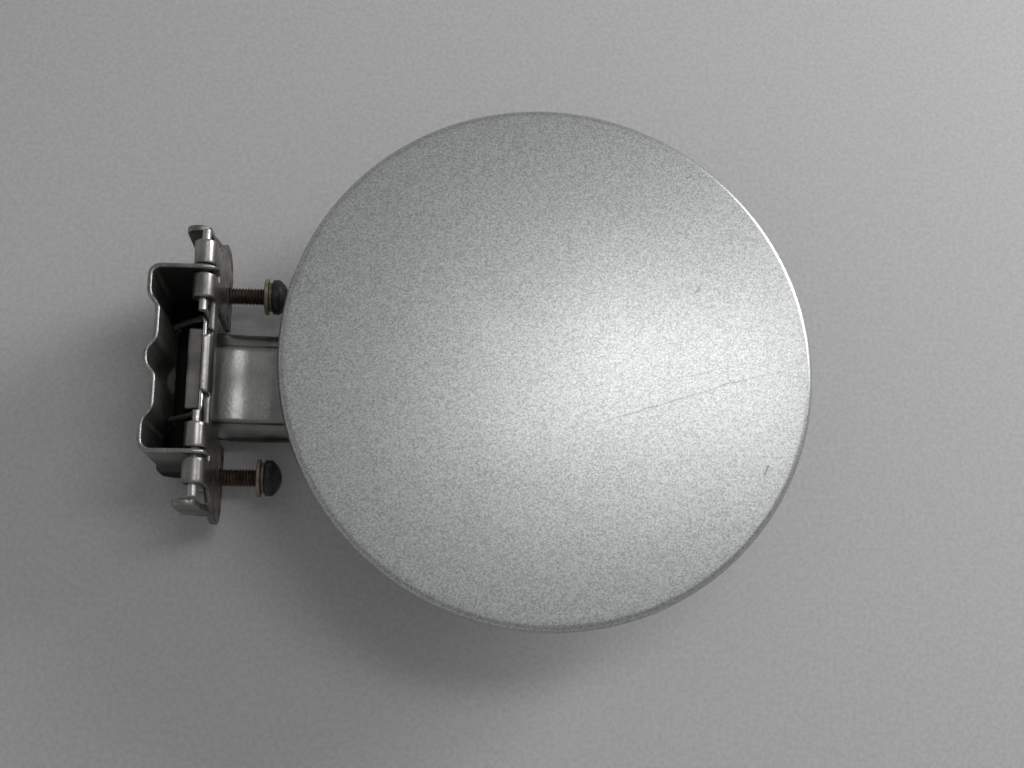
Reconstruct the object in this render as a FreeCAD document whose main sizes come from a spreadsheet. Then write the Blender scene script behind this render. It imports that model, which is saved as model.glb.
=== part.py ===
import FreeCAD, Part
import math
import os

import Sketcher

# Round fuel filler door with its gooseneck hinge, shown open and taken off the car.
# Frame: X runs from the hinge to the door, Y along the hinge axis, Z out of the painted face.
# Origin: on the mounting face of the hinge bracket, midway between the two screws.

doc = FreeCAD.newDocument("FuelFillerDoor")
sheet = doc.addObject("Spreadsheet::Sheet", "Dims")

DIMENSIONS = {
    # door leaf
    "door_dia": 165.0,
    "door_reach": 106.7,       # hinge axis to the middle of the door
    "rim_lift": 12.0,          # hinge axis to the painted face at its rim
    "crown": 2.0,
    "crown_flat": 3.0,         # radius of the flat spot in the middle
    "rim_height": 5.5,
    "rim_round": 2.4,
    "skin_gauge": 0.8,
    "hem_width": 9.0,
    "panel_gauge": 0.8,
    "panel_clear": 0.3,
    "dish_dia": 118.0,
    "dish_drop": 1.5,          # below the hem
    "dish_slope": 5.0,
    # hinge bracket
    "bracket_gauge": 2.0,
    "pin_dia": 2.8,
    "pin_play": 0.05,
    "pin_rise": 32.0,          # screw line to hinge axis
    "pin_inner": 15.7,
    "knuckle_inner": 19.5,
    "knuckle_length": 7.9,
    "slot_width": 3.0,
    "slot_floor": 8.5,         # below the hinge axis
    "curl_sweep": 255.0,
    "window_half": 20.1,
    "leg_drop": 7.0,           # below the screw line
    "leg_half": 46.5,
    "leg_round": 9.0,
    "shoulder_drop": 10.0,
    "shoulder_slope": 14.0,
    "bridge_drop": 2.5,
    "shelf_drop": 9.7,
    "shelf_reach": 7.0,
    "shelf_half": 13.1,
    "bend_round": 1.0,
    "hook_half": 10.2,
    "hook_tip_half": 7.3,
    "hook_sweep": 100.0,
    "lug_inset": 4.1,          # from the end of the leg
    "lug_rise": 31.2,
    "lug_foot": 5.0,
    "lug_left": 10.2,
    "lug_right": 2.4,
    "lug_round": 3.6,
    "pin_end_gap": 0.2,
    # spring wire
    "wire_dia": 2.0,
    "wire_play": 0.1,
    "wire_drop": 5.2,
    "wire_half": 15.4,
    "wire_bend": 2.2,
    "wire_foot_drop": 17.0,
    "wire_foot_length": 6.0,
    # gooseneck arm
    "arm_gauge": 1.6,
    "web_offset": 15.7,
    "web_rise": 4.6,
    "web_corner": 4.0,
    "pad_depth": 2.9,
    "pad_middle": 10.9,
    "pad_half": 5.4,
    "pad_slope": 3.4,
    "pad_floor_drop": 28.0,
    "bend_bottom_drop": 41.8,
    "bend_radius": 5.2,
    "neck_drop": 30.0,
    "neck_half": 18.2,
    "neck_bend": 5.0,
    "neck_end": 28.0,
    "riser_bend": 14.0,
    "foot_bend": 8.0,
    "foot_length": 50.0,
    "flange_depth": 5.0,
    "panel_half": 13.0,
    "panel_step": 1.3,
    "shoulder_fall": 1.7,
    "stop_gap": 0.35,
    "stop_drop": 19.0,
    "wall_edge_drop": 29.0,
    "wall_edge_offset": 6.5,
    # screws
    "screw_half_pitch": 31.0,
    "thread_dia": 5.9,
    "thread_play": 0.05,
    "screw_stand_out": 12.0,
    "head_dia": 11.8,
    "head_height": 5.4,
    "head_side": 2.2,
    "screw_tip": 8.0,
    "tip_chamfer": 1.0,
    "washer_dia": 12.4,
    "washer_height": 1.2,
    "lock_dia": 9.8,
    "lock_height": 1.3,
    "lock_slit": 0.9,
    "nut_side": 10.0,
    "nut_height": 5.0,
    "nut_round": 1.2,
    # latch striker on the back of the door
    "striker_reach": 50.0,     # from the middle of the door
    "striker_width": 16.0,
    "striker_gauge": 1.6,
    "striker_drop": 16.0,
    "striker_foot": 12.0,
    "striker_lip": 6.0,
    "striker_bend": 1.0,
}
for row, (alias, size) in enumerate(DIMENSIONS.items(), start=1):
    sheet.set("A%d" % row, alias)
    sheet.set("B%d" % row, str(size))
    sheet.setAlias("B%d" % row, alias)
doc.recompute()


def value(expression):
    return float(sheet.evalExpression(expression))


def new_body(label):
    body = doc.addObject("PartDesign::Body", label)
    body.Label = label
    return body


def new_sketch(body, name, role, height=None):
    """Empty sketch on one of the body's own planes, lifted along the plane's normal."""
    sketch = body.newObject("Sketcher::SketchObject", name)
    plane = [item for item in body.Origin.OriginFeatures if item.Role == role][0]
    sketch.AttachmentSupport = [(plane, "")]
    sketch.MapMode = "FlatFace"
    if height:
        sketch.setExpression(".AttachmentOffset.Base.z", height)
    return sketch


def arc_centre(start, end, radius, turn):
    """Middle of the shorter arc from start to end; turn is 1 for left-hand, -1 for right-hand."""
    chord = end - start
    middle = start + chord * 0.5
    rise = math.sqrt(max(radius * radius - chord.Length * chord.Length / 4.0, 0.0))
    normal = FreeCAD.Vector(-chord.y, chord.x, 0)
    normal.normalize()
    return middle + normal * (rise * turn)


def draw(sketch, corners):
    """Closed outline. A corner is (x, y) or (x, y, radius, turn) with an arc to the next corner."""
    places = [FreeCAD.Vector(value(corner[0]), value(corner[1]), 0) for corner in corners]
    lines = []
    for index, corner in enumerate(corners):
        start = places[index]
        end = places[(index + 1) % len(places)]
        if len(corner) == 2:
            curve = Part.LineSegment(start, end)
        else:
            turn = corner[3]
            radius = value(corner[2])
            middle = arc_centre(start, end, radius, turn)
            circle = Part.Circle(middle, FreeCAD.Vector(0, 0, 1), radius)
            first = math.atan2(start.y - middle.y, start.x - middle.x)
            last = math.atan2(end.y - middle.y, end.x - middle.x)
            if turn > 0:
                curve = Part.ArcOfCircle(circle, first, last)
            else:
                curve = Part.ArcOfCircle(circle, last, first)
        lines.append(sketch.addGeometry(curve, False))
    ends = []
    for index, corner in enumerate(corners):
        reverse = len(corner) == 4 and corner[3] < 0
        ends.append((2, 1) if reverse else (1, 2))
    for index, corner in enumerate(corners):
        after = (index + 1) % len(corners)
        sketch.addConstraint(Sketcher.Constraint(
            "Coincident", lines[index], ends[index][1], lines[after], ends[after][0]))
    for index, corner in enumerate(corners):
        for axis, size in zip("XY", corner[:2]):
            name = "corner%d%s" % (index, axis)
            number = sketch.addConstraint(Sketcher.Constraint(
                "Distance" + axis, lines[index], ends[index][0], value(size)))
            sketch.renameConstraint(number, name)
            sketch.setExpression(".Constraints." + name, size)
        if len(corner) == 4:
            name = "corner%dradius" % index
            number = sketch.addConstraint(Sketcher.Constraint("Radius", lines[index], value(corner[2])))
            sketch.renameConstraint(number, name)
            sketch.setExpression(".Constraints." + name, corner[2])


def draw_circle(sketch, x, y, diameter, name):
    circle = Part.Circle(FreeCAD.Vector(value(x), value(y), 0), FreeCAD.Vector(0, 0, 1), value(diameter) / 2)
    line = sketch.addGeometry(circle, False)
    for kind, size in (("DistanceX", x), ("DistanceY", y)):
        number = sketch.addConstraint(Sketcher.Constraint(kind, line, 3, value(size)))
        sketch.renameConstraint(number, name + kind)
        sketch.setExpression(".Constraints." + name + kind, size)
    number = sketch.addConstraint(Sketcher.Constraint("Diameter", line, value(diameter)))
    sketch.renameConstraint(number, name + "Diameter")
    sketch.setExpression(".Constraints." + name + "Diameter", diameter)


def pad(body, sketch, name, length, symmetric=False, reversed_side=False):
    feature = body.newObject("PartDesign::Pad", name)
    feature.Profile = sketch
    feature.setExpression("Length", length)
    if symmetric:
        feature.SideType = "Symmetric"
    feature.Reversed = reversed_side
    doc.recompute()
    return feature


def pocket(body, sketch, name, length, symmetric=False, reversed_side=False):
    before = body.Shape.Volume
    feature = body.newObject("PartDesign::Pocket", name)
    feature.Profile = sketch
    feature.setExpression("Length", length)
    if symmetric:
        feature.SideType = "Symmetric"
    feature.Reversed = reversed_side
    doc.recompute()
    if not body.Shape.Volume < before - 0.01:
        raise RuntimeError(name + " cuts nothing")
    return feature


def mirror(body, originals, name):
    """Copies of the features on the other side of the middle plane, across Y."""
    feature = body.newObject("PartDesign::Mirrored", name)
    feature.Originals = originals
    plane = [item for item in body.Origin.OriginFeatures if item.Role == "XZ_Plane"][0]
    feature.MirrorPlane = (plane, [""])
    body.Tip = feature
    doc.recompute()
    return feature


def revolve(body, sketch, name, axis_role):
    feature = body.newObject("PartDesign::Revolution", name)
    feature.Profile = sketch
    axis = [item for item in body.Origin.OriginFeatures if item.Role == axis_role][0]
    feature.ReferenceAxis = (axis, [""])
    feature.Angle = 360.0
    doc.recompute()
    return feature


# Places that several pieces share, all as expressions on the sheet.
KNUCKLE_R = "(Dims.pin_dia / 2 + Dims.pin_play + Dims.bracket_gauge)"
BORE_R = "(Dims.pin_dia / 2 + Dims.pin_play)"
PIN_X = "(-" + KNUCKLE_R + ")"
PIN_Z = "Dims.pin_rise"
PLATE_BACK = "(-Dims.bracket_gauge)"
KNUCKLE_END = "(Dims.knuckle_inner + Dims.knuckle_length)"
OUTER_START = "(Dims.knuckle_inner + Dims.knuckle_length + Dims.slot_width)"
OUTER_END = "(Dims.knuckle_inner + 2 * Dims.knuckle_length + Dims.slot_width)"
LUG_INNER = "(Dims.leg_half - Dims.lug_inset)"
EAR_MIDDLE = "(Dims.knuckle_inner + Dims.knuckle_length + Dims.slot_width / 2)"
EAR_OUTER = "(" + EAR_MIDDLE + " + Dims.arm_gauge / 2)"
EAR_INNER = "(" + EAR_MIDDLE + " - Dims.arm_gauge / 2)"
WIRE_R = "(Dims.wire_dia / 2)"
HOOK_R = "(Dims.wire_dia / 2 + Dims.wire_play)"
WIRE_X = "(-Dims.bracket_gauge - Dims.wire_dia / 2 - Dims.wire_play)"
WIRE_Z = "(Dims.pin_rise - Dims.wire_drop)"
DOOR_X = "(" + PIN_X + " + Dims.door_reach)"
FACE_Z = "(Dims.pin_rise + Dims.rim_lift)"
HEM_Z = "(" + FACE_Z + " - Dims.rim_height)"
DISH_Z = "(" + HEM_Z + " - Dims.dish_drop)"
SHELF_Z = "(Dims.pin_rise - Dims.shelf_drop)"
SHELF_X = "(-Dims.bracket_gauge - Dims.shelf_reach)"


def polar(x, y, radius, angle):
    """Point at a distance and an angle in degrees from (x, y)."""
    turn = "(" + angle + ") * 1 deg"
    return (x + " + " + radius + " * cos(" + turn + ")", y + " + " + radius + " * sin(" + turn + ")")


def from_pin(across, up):
    """Point in the XZ plane given from the hinge axis."""
    return (PIN_X + " + " + across, PIN_Z + " + " + up)


def both_sides(label, body):
    """The body and its copy across the middle plane, as one node of two solids."""
    copy = doc.addObject("Part::Mirroring", label + "_copy")
    copy.Source = body
    copy.Normal = FreeCAD.Vector(0, 1, 0)
    group = doc.addObject("Part::Compound", label)
    group.Label = label
    group.Links = [body, copy]
    doc.recompute()
    return group


# Hinge bracket: one pressed plate with two legs, four rolled knuckles, a hook over the spring wire,
# a stiffening shelf above the window and a lug that stops each pin.
SHOULDER_Z = "(Dims.pin_rise - Dims.shoulder_drop)"
LEG_TOP_Z = "(" + SHOULDER_Z + " - Dims.shoulder_slope)"
WINDOW_TOP = "(" + SHELF_Z + " + Dims.bend_round)"
SLOT_Z = "(Dims.pin_rise - Dims.slot_floor)"
BRIDGE_Z = "(Dims.pin_rise - Dims.bridge_drop)"
HOOK_OUTER = "(" + HOOK_R + " + Dims.bracket_gauge)"
BEND_OUTER = "(Dims.bend_round + Dims.bracket_gauge)"


def build_bracket():
    body = new_body("hinge_bracket")
    outline = new_sketch(body, "plate_outline", "YZ_Plane")
    draw(outline, [
        ("0", WINDOW_TOP),
        ("Dims.window_half", WINDOW_TOP),
        ("Dims.window_half", "-Dims.leg_drop"),
        ("Dims.leg_half - Dims.leg_round", "-Dims.leg_drop", "Dims.leg_round", 1),
        ("Dims.leg_half", "Dims.leg_round - Dims.leg_drop"),
        ("Dims.leg_half", LEG_TOP_Z),
        (OUTER_END, SHOULDER_Z),
        (OUTER_END, PIN_Z),
        (OUTER_START, PIN_Z),
        (OUTER_START, SLOT_Z),
        (KNUCKLE_END, SLOT_Z),
        (KNUCKLE_END, PIN_Z),
        ("Dims.knuckle_inner", PIN_Z),
        ("Dims.knuckle_inner", BRIDGE_Z),
        ("Dims.hook_half", BRIDGE_Z),
        ("Dims.hook_half", WIRE_Z),
        ("0", WIRE_Z),
    ])
    plate = pad(body, outline, "plate", "Dims.bracket_gauge", reversed_side=True)

    middle_turn = "Dims.curl_sweep / 2"
    curl_section = [
        ("0", PIN_Z, KNUCKLE_R, 1),
        polar(PIN_X, PIN_Z, KNUCKLE_R, middle_turn) + (KNUCKLE_R, 1),
        polar(PIN_X, PIN_Z, KNUCKLE_R, "Dims.curl_sweep"),
        polar(PIN_X, PIN_Z, BORE_R, "Dims.curl_sweep") + (BORE_R, -1),
        polar(PIN_X, PIN_Z, BORE_R, middle_turn) + (BORE_R, -1),
        (PLATE_BACK, PIN_Z),
        (PLATE_BACK, SLOT_Z),
        ("0", SLOT_Z),
    ]
    knuckles = []
    for name, start in (("inner", "Dims.knuckle_inner"), ("outer", OUTER_START)):
        curl = new_sketch(body, name + "_curl", "XZ_Plane", "-" + start)
        draw(curl, curl_section)
        knuckles.append(pad(body, curl, name + "_knuckle", "Dims.knuckle_length", reversed_side=True))

    lug_outline = new_sketch(body, "lug_outline", "XZ_Plane", "-" + LUG_INNER)
    draw(lug_outline, [
        ("0", "Dims.lug_foot"),
        ("0", LEG_TOP_Z),
        ("-Dims.lug_right", SHOULDER_Z),
        ("-Dims.lug_right", "Dims.lug_rise - Dims.lug_round", "Dims.lug_round", 1),
        ("-Dims.lug_right - Dims.lug_round", "Dims.lug_rise"),
        ("Dims.lug_round - Dims.lug_left", "Dims.lug_rise", "Dims.lug_round", 1),
        ("-Dims.lug_left", "Dims.lug_rise - Dims.lug_round"),
        ("-Dims.lug_left", LEG_TOP_Z),
        (PLATE_BACK, "Dims.lug_foot"),
    ])
    lug = pad(body, lug_outline, "lug", "Dims.bracket_gauge", reversed_side=True)

    hook_section = new_sketch(body, "hook_section", "XZ_Plane")
    draw(hook_section, [
        ("0", WIRE_Z, HOOK_OUTER, 1),
        polar(WIRE_X, WIRE_Z, HOOK_OUTER, "Dims.hook_sweep"),
        polar(WIRE_X, WIRE_Z, HOOK_R, "Dims.hook_sweep") + (HOOK_R, -1),
        (PLATE_BACK, WIRE_Z),
        (PLATE_BACK, WINDOW_TOP),
        ("0", WINDOW_TOP),
    ])
    pad(body, hook_section, "hook", "2 * Dims.hook_half", symmetric=True)

    shelf_section = new_sketch(body, "shelf_section", "XZ_Plane")
    draw(shelf_section, [
        ("0", WINDOW_TOP),
        (PLATE_BACK, WINDOW_TOP, "Dims.bend_round", -1),
        (PLATE_BACK + " - Dims.bend_round", SHELF_Z),
        (SHELF_X, SHELF_Z),
        (SHELF_X, SHELF_Z + " - Dims.bracket_gauge"),
        (PLATE_BACK + " - Dims.bend_round", SHELF_Z + " - Dims.bracket_gauge", BEND_OUTER, 1),
    ])
    pad(body, shelf_section, "shelf", "2 * Dims.shelf_half", symmetric=True)

    hole = new_sketch(body, "screw_hole", "YZ_Plane")
    draw_circle(hole, "Dims.screw_half_pitch", "0", "Dims.thread_dia + 2 * Dims.thread_play", "hole")
    hole_cut = pocket(body, hole, "screw_hole_cut", "Dims.bracket_gauge")

    hook_left = WIRE_X + " - " + HOOK_OUTER
    corner = new_sketch(body, "hook_corner", "XY_Plane", PIN_Z)
    draw(corner, [
        (hook_left, "Dims.hook_tip_half"),
        ("0", "Dims.hook_half"),
        (hook_left, "2 * Dims.hook_half - Dims.hook_tip_half"),
    ])
    corner_cut = pocket(body, corner, "hook_corner_cut", "Dims.wire_drop")
    mirror(body, [plate] + knuckles + [lug, hole_cut, corner_cut], "other_half")
    return body


# Gooseneck arm: one pressed sheet that goes from the ears round the pins, down the web, round the
# deep bend, through the bracket's window and up to the foot welded under the door.
WEB_OUT = "(" + PIN_X + " - Dims.web_offset - Dims.arm_gauge / 2)"
WEB_IN = "(" + PIN_X + " - Dims.web_offset + Dims.arm_gauge / 2)"
WEB_TOP = "(Dims.pin_rise + Dims.web_rise)"
PAD_FLOOR = "(Dims.pin_rise - Dims.pad_floor_drop)"
BEND_X = "(Dims.bend_radius - Dims.web_offset)"
BEND_Z = "(Dims.bend_radius - Dims.bend_bottom_drop)"
RISE_X = "(2 * Dims.bend_radius - Dims.web_offset)"
NECK_START = "(" + RISE_X + " + Dims.neck_bend)"
NECK_BEND_Z = "(-Dims.neck_drop - Dims.neck_bend)"
RISER_X = "(Dims.neck_end + Dims.riser_bend)"
RISER_Z = "(Dims.riser_bend - Dims.neck_drop)"
FOOT_Z = "(" + DISH_Z + " - Dims.pin_rise - Dims.arm_gauge / 2)"
FOOT_BEND_Z = "(" + FOOT_Z + " - Dims.foot_bend)"
FOOT_START = "(" + RISER_X + " + Dims.foot_bend)"
FOOT_END = "(" + FOOT_START + " + Dims.foot_length)"
STOP_X = "(" + PLATE_BACK + " - Dims.stop_gap - " + PIN_X + ")"


def build_arm():
    body = new_body("hinge_arm")
    ribbon = new_sketch(body, "ribbon", "XZ_Plane")
    outer = "(Dims.bend_radius + Dims.arm_gauge / 2)"
    inner = "(Dims.bend_radius - Dims.arm_gauge / 2)"
    draw(ribbon, [
        from_pin("(-Dims.web_offset - Dims.arm_gauge / 2)", "(-Dims.pad_floor_drop)"),
        from_pin("(-Dims.web_offset - Dims.arm_gauge / 2)", BEND_Z) + (outer, 1),
        from_pin(BEND_X, "(-Dims.bend_bottom_drop - Dims.arm_gauge / 2)") + (outer, 1),
        from_pin("(" + RISE_X + " + Dims.arm_gauge / 2)", BEND_Z),
        from_pin("(" + RISE_X + " + Dims.arm_gauge / 2)", NECK_BEND_Z)
        + ("Dims.neck_bend - Dims.arm_gauge / 2", -1),
        from_pin(NECK_START, "(-Dims.neck_drop - Dims.arm_gauge / 2)"),
        from_pin("Dims.neck_end", "(-Dims.neck_drop - Dims.arm_gauge / 2)")
        + ("Dims.riser_bend + Dims.arm_gauge / 2", 1),
        from_pin("(" + RISER_X + " + Dims.arm_gauge / 2)", RISER_Z),
        from_pin("(" + RISER_X + " + Dims.arm_gauge / 2)", FOOT_BEND_Z)
        + ("Dims.foot_bend - Dims.arm_gauge / 2", -1),
        from_pin(FOOT_START, "(" + FOOT_Z + " - Dims.arm_gauge / 2)"),
        from_pin(FOOT_END, "(" + FOOT_Z + " - Dims.arm_gauge / 2)"),
        from_pin(FOOT_END, "(" + FOOT_Z + " + Dims.arm_gauge / 2)"),
        from_pin(FOOT_START, "(" + FOOT_Z + " + Dims.arm_gauge / 2)")
        + ("Dims.foot_bend + Dims.arm_gauge / 2", 1),
        from_pin("(" + RISER_X + " - Dims.arm_gauge / 2)", FOOT_BEND_Z),
        from_pin("(" + RISER_X + " - Dims.arm_gauge / 2)", RISER_Z)
        + ("Dims.riser_bend - Dims.arm_gauge / 2", -1),
        from_pin("Dims.neck_end", "(Dims.arm_gauge / 2 - Dims.neck_drop)"),
        from_pin(NECK_START, "(Dims.arm_gauge / 2 - Dims.neck_drop)")
        + ("Dims.neck_bend + Dims.arm_gauge / 2", 1),
        from_pin("(" + RISE_X + " - Dims.arm_gauge / 2)", NECK_BEND_Z),
        from_pin("(" + RISE_X + " - Dims.arm_gauge / 2)", BEND_Z) + (inner, -1),
        from_pin(BEND_X, "(Dims.arm_gauge / 2 - Dims.bend_bottom_drop)") + (inner, -1),
        from_pin("(Dims.arm_gauge / 2 - Dims.web_offset)", BEND_Z),
        from_pin("(Dims.arm_gauge / 2 - Dims.web_offset)", "(-Dims.pad_floor_drop)"),
    ])
    pad(body, ribbon, "strip", "2 * " + EAR_OUTER, symmetric=True)

    # The strip narrows from the ears' width to the neck that passes between the bracket's legs.
    wall_edge = PIN_X + " - Dims.wall_edge_offset"
    beyond = PIN_X + " + " + FOOT_END + " + Dims.arm_gauge"
    waist = new_sketch(body, "waist", "XY_Plane", WEB_TOP + " + Dims.rim_lift")
    draw(waist, [
        (wall_edge, EAR_OUTER + " + Dims.arm_gauge"),
        (wall_edge, EAR_OUTER),
        (PIN_X, "Dims.neck_half"),
        (beyond, "Dims.neck_half"),
        (beyond, EAR_OUTER + " + Dims.arm_gauge"),
    ])
    depth = "Dims.web_rise + Dims.rim_lift + Dims.bend_bottom_drop + Dims.arm_gauge"
    waist_cut = pocket(body, waist, "waist_cut", depth)

    # The web above the deep bend: pads pressed towards the pins, with a rounded corner to each ear.
    near = "(Dims.pad_middle - Dims.pad_half)"
    far = "(Dims.pad_middle + Dims.pad_half)"
    corner_in = "(Dims.web_corner - Dims.arm_gauge)"
    web = new_sketch(body, "web", "XY_Plane", WEB_TOP)
    draw(web, [
        (WEB_IN, "0"),
        (WEB_IN, near + " - Dims.pad_slope"),
        (WEB_IN + " + Dims.pad_depth", near),
        (WEB_IN + " + Dims.pad_depth", far),
        (WEB_IN, far + " + Dims.pad_slope"),
        (WEB_IN, EAR_INNER + " - " + corner_in, corner_in, -1),
        (WEB_IN + " + " + corner_in, EAR_INNER),
        (WEB_IN + " + " + corner_in + " + Dims.arm_gauge", EAR_INNER),
        (WEB_IN + " + " + corner_in + " + Dims.arm_gauge", EAR_OUTER),
        (WEB_IN + " + " + corner_in, EAR_OUTER, "Dims.web_corner", 1),
        (WEB_OUT, EAR_INNER + " - " + corner_in),
        (WEB_OUT, far + " + Dims.pad_slope"),
        (WEB_OUT + " + Dims.pad_depth", far),
        (WEB_OUT + " + Dims.pad_depth", near),
        (WEB_OUT, near + " - Dims.pad_slope"),
        (WEB_OUT, "0"),
    ])
    web_pad = pad(body, web, "web_wall", "Dims.web_rise + Dims.pad_floor_drop", reversed_side=True)
    floor = new_sketch(body, "pad_floor", "XY_Plane", PAD_FLOOR)
    draw(floor, [
        (WEB_OUT, "0"),
        (WEB_IN + " + Dims.pad_depth", "0"),
        (WEB_IN + " + Dims.pad_depth", far),
        (WEB_IN, far + " + Dims.pad_slope"),
        (WEB_IN, EAR_OUTER),
        (WEB_OUT, EAR_OUTER),
    ])
    floor_pad = pad(body, floor, "pad_floor_step", "Dims.arm_gauge", reversed_side=True)

    # Ear: side wall with the pin's hole, a straight edge that stops against the plate when open,
    # and an edge cut back to clear the nut.
    ear_left = "(Dims.web_corner - Dims.web_offset - Dims.arm_gauge / 2)"
    ear = new_sketch(body, "ear", "XZ_Plane", "-" + EAR_INNER)
    draw(ear, [
        from_pin("(-Dims.web_offset - Dims.arm_gauge / 2)", BEND_Z) + (outer, 1),
        from_pin(BEND_X, "(-Dims.bend_bottom_drop - Dims.arm_gauge / 2)"),
        from_pin("(-Dims.wall_edge_offset)", BEND_Z),
        from_pin("(-Dims.wall_edge_offset)", "(-Dims.wall_edge_drop)"),
        from_pin(STOP_X, "(-Dims.stop_drop)"),
        from_pin(STOP_X, "(-sqrt(Dims.web_rise ^ 2 - " + STOP_X + " ^ 2))") + ("Dims.web_rise", 1),
        from_pin("0", "Dims.web_rise"),
        from_pin(ear_left, "Dims.web_rise"),
        from_pin(ear_left, "(-Dims.pad_floor_drop)"),
        from_pin("(-Dims.web_offset - Dims.arm_gauge / 2)", "(-Dims.pad_floor_drop)"),
    ])
    ear_pad = pad(body, ear, "ear_wall", "Dims.arm_gauge", reversed_side=True)
    hole = new_sketch(body, "ear_hole", "XZ_Plane", "-" + EAR_INNER)
    draw_circle(hole, PIN_X, PIN_Z, "2 * " + BORE_R, "hole")
    ear_hole = pocket(body, hole, "ear_hole_cut", "Dims.arm_gauge")

    # Side flange turned down along the neck and the riser.
    rim = "(Dims.arm_gauge / 2 + Dims.flange_depth)"
    flange = new_sketch(body, "flange", "XZ_Plane", "-(Dims.neck_half - Dims.arm_gauge)")
    draw(flange, [
        from_pin("0", "(-Dims.neck_drop)"),
        from_pin("Dims.flange_depth", "(-Dims.neck_drop - " + rim + ")"),
        from_pin("Dims.neck_end", "(-Dims.neck_drop - " + rim + ")") + ("Dims.riser_bend + " + rim, 1),
        from_pin("(" + RISER_X + " + " + rim + ")", RISER_Z),
        from_pin(RISER_X, FOOT_BEND_Z),
        from_pin(RISER_X, RISER_Z) + ("Dims.riser_bend", -1),
        from_pin("Dims.neck_end", "(-Dims.neck_drop)"),
    ])
    flange_pad = pad(body, flange, "side_flange", "Dims.arm_gauge", reversed_side=True)

    # The middle of the neck stands up as a flat panel. A small step and a sloping shoulder on each
    # side lead down to the flanges.
    neck_z = "(Dims.pin_rise - Dims.neck_drop)"
    step_z = "(" + neck_z + " + Dims.arm_gauge / 2 - Dims.panel_step)"
    edge_z = "(" + step_z + " - Dims.shoulder_fall)"
    shoulder = new_sketch(body, "shoulder", "YZ_Plane", PIN_X + " + " + RISE_X)
    draw(shoulder, [
        ("Dims.panel_half - Dims.arm_gauge", neck_z),
        ("Dims.panel_half - Dims.arm_gauge", step_z + " - Dims.arm_gauge"),
        ("Dims.neck_half", edge_z + " - Dims.arm_gauge"),
        ("Dims.neck_half", neck_z),
    ])
    shoulder_pad = pad(body, shoulder, "shoulder_fill", "Dims.neck_end - " + RISE_X)
    above = new_sketch(body, "above_shoulder", "YZ_Plane", PIN_X + " + " + RISE_X)
    draw(above, [
        ("Dims.panel_half", step_z),
        ("Dims.neck_half", edge_z),
        (EAR_OUTER, edge_z),
        (EAR_OUTER, neck_z + " + Dims.arm_gauge"),
        ("Dims.panel_half", neck_z + " + Dims.arm_gauge"),
    ])
    shoulder_cut = pocket(body, above, "shoulder_cut", "Dims.neck_end - " + RISE_X, reversed_side=True)
    halves = [waist_cut, web_pad, floor_pad, ear_pad, ear_hole, flange_pad, shoulder_pad, shoulder_cut]
    mirror(body, halves, "other_half")
    return body


# Door leaf: a crowned round skin with a rolled rim and an inward hem, and the inner panel that the
# hem holds.
DOOR_R = "(Dims.door_dia / 2)"
CROWN_R = "(Dims.door_dia / 2 - Dims.rim_round)"
SPHERE_R = "((" + CROWN_R + " ^ 2 + Dims.crown ^ 2) / (2 * Dims.crown))"
CROWN_SAG = "(" + SPHERE_R + " - sqrt(" + SPHERE_R + " ^ 2 - Dims.crown_flat ^ 2))"
FLAT_Z = "(" + FACE_Z + " + Dims.crown - " + CROWN_SAG + ")"


def build_skin():
    body = new_body("door_skin")
    body.setExpression("Placement.Base.x", DOOR_X)
    section = new_sketch(body, "skin_section", "XZ_Plane")
    draw(section, [
        ("0", FLAT_Z + " - Dims.skin_gauge"),
        ("0", FLAT_Z),
        ("Dims.crown_flat", FLAT_Z, SPHERE_R, -1),
        (CROWN_R, FACE_Z, "Dims.rim_round", -1),
        (DOOR_R, FACE_Z + " - Dims.rim_round"),
        (DOOR_R, HEM_Z),
        (DOOR_R + " - Dims.hem_width", HEM_Z),
        (DOOR_R + " - Dims.hem_width", HEM_Z + " + Dims.skin_gauge"),
        (DOOR_R + " - Dims.skin_gauge", HEM_Z + " + Dims.skin_gauge"),
        (DOOR_R + " - Dims.skin_gauge", FACE_Z + " - Dims.rim_round",
         "Dims.rim_round - Dims.skin_gauge", 1),
        (CROWN_R, FACE_Z + " - Dims.skin_gauge", SPHERE_R, 1),
        ("Dims.crown_flat", FLAT_Z + " - Dims.skin_gauge"),
    ])
    revolve(body, section, "skin_pan", "Z_Axis")
    return body


def build_inner_panel():
    body = new_body("inner_panel")
    body.setExpression("Placement.Base.x", DOOR_X)
    edge = DOOR_R + " - Dims.skin_gauge - Dims.panel_clear"
    dish = "Dims.dish_dia / 2"
    seat = "(" + HEM_Z + " + Dims.skin_gauge)"
    section = new_sketch(body, "panel_section", "XZ_Plane")
    draw(section, [
        ("0", DISH_Z),
        (dish, DISH_Z),
        (dish + " + Dims.dish_slope", seat),
        (edge, seat),
        (edge, seat + " + Dims.panel_gauge"),
        (dish + " + Dims.dish_slope", seat + " + Dims.panel_gauge"),
        (dish, DISH_Z + " + Dims.panel_gauge"),
        ("0", DISH_Z + " + Dims.panel_gauge"),
    ])
    revolve(body, section, "panel_dish", "Z_Axis")
    return body


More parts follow.
